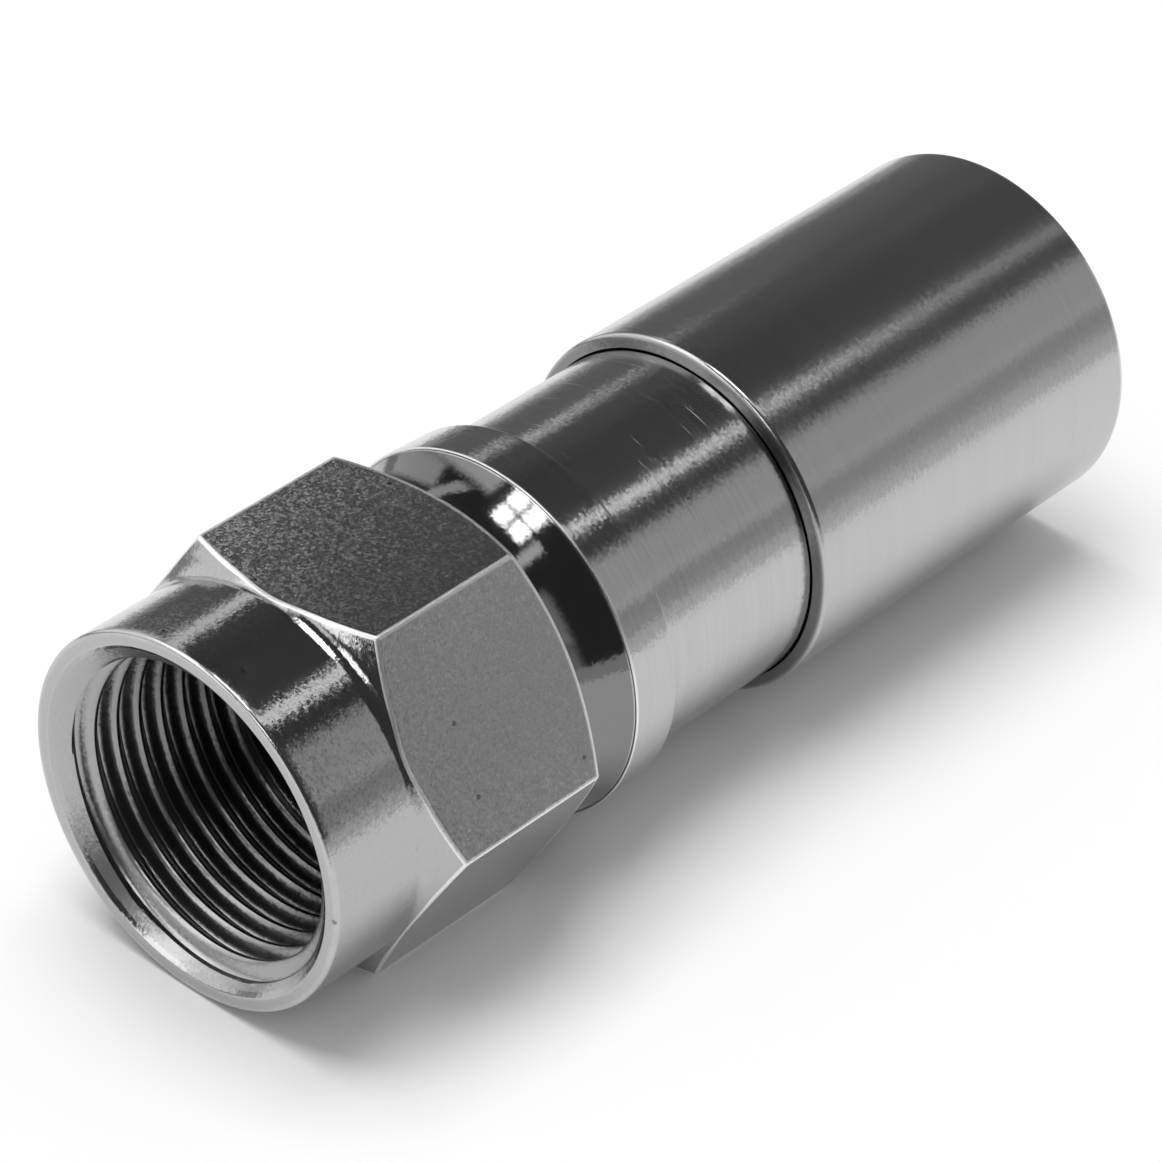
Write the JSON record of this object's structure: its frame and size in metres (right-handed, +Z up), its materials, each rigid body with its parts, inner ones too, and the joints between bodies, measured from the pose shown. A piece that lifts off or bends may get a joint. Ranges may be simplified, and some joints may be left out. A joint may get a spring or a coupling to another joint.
{
  "type": "compression f connector",
  "caption": "Compression F connector for RG-6 coaxial cable: threaded hexagon nut that turns on a barbed post, flared body tube and sliding crimp sleeve with a slotted grip ring.",
  "frame": {"origin": "on the surface it lies on, under the middle of its length, with one flat of the nut facing down", "axes": "+X along the connector's axis from the nut's mouth to the cable's end, +Z up"},
  "size_m": [0.0324, 0.0128, 0.011],
  "materials": {
    "nut_plating": "grainy nickel plate on turned brass, edges rubbed bright",
    "body_plating": "nickel plate, polished flare and finely brushed tube",
    "sleeve_plating": "nickel plate brushed round the axis",
    "post_plating": "bright nickel plate",
    "seal_rubber": "black rubber",
    "grip_plastic": "natural acetal"
  },
  "bodies": {
    "connector_body": {"connector_body": "body_plating", "inner_post": "post_plating", "nut_seal_ring": "seal_rubber"},
    "coupling_nut": {"coupling_nut": "nut_plating"},
    "compression_sleeve": {"compression_sleeve": "sleeve_plating", "grip_ring": "grip_plastic"}
  },
  "joints": [
    {"name": "nut_spin", "type": "hinge", "parent": "connector_body", "child": "coupling_nut", "pos_m": [-0.008, 0, 0.0055], "axis": [1, 0, 0], "continuous": true},
    {"name": "sleeve_crimp", "type": "slide", "parent": "connector_body", "child": "compression_sleeve", "axis": [-1, 0, 0], "range_m": [0, 0.0059]}
  ]
}
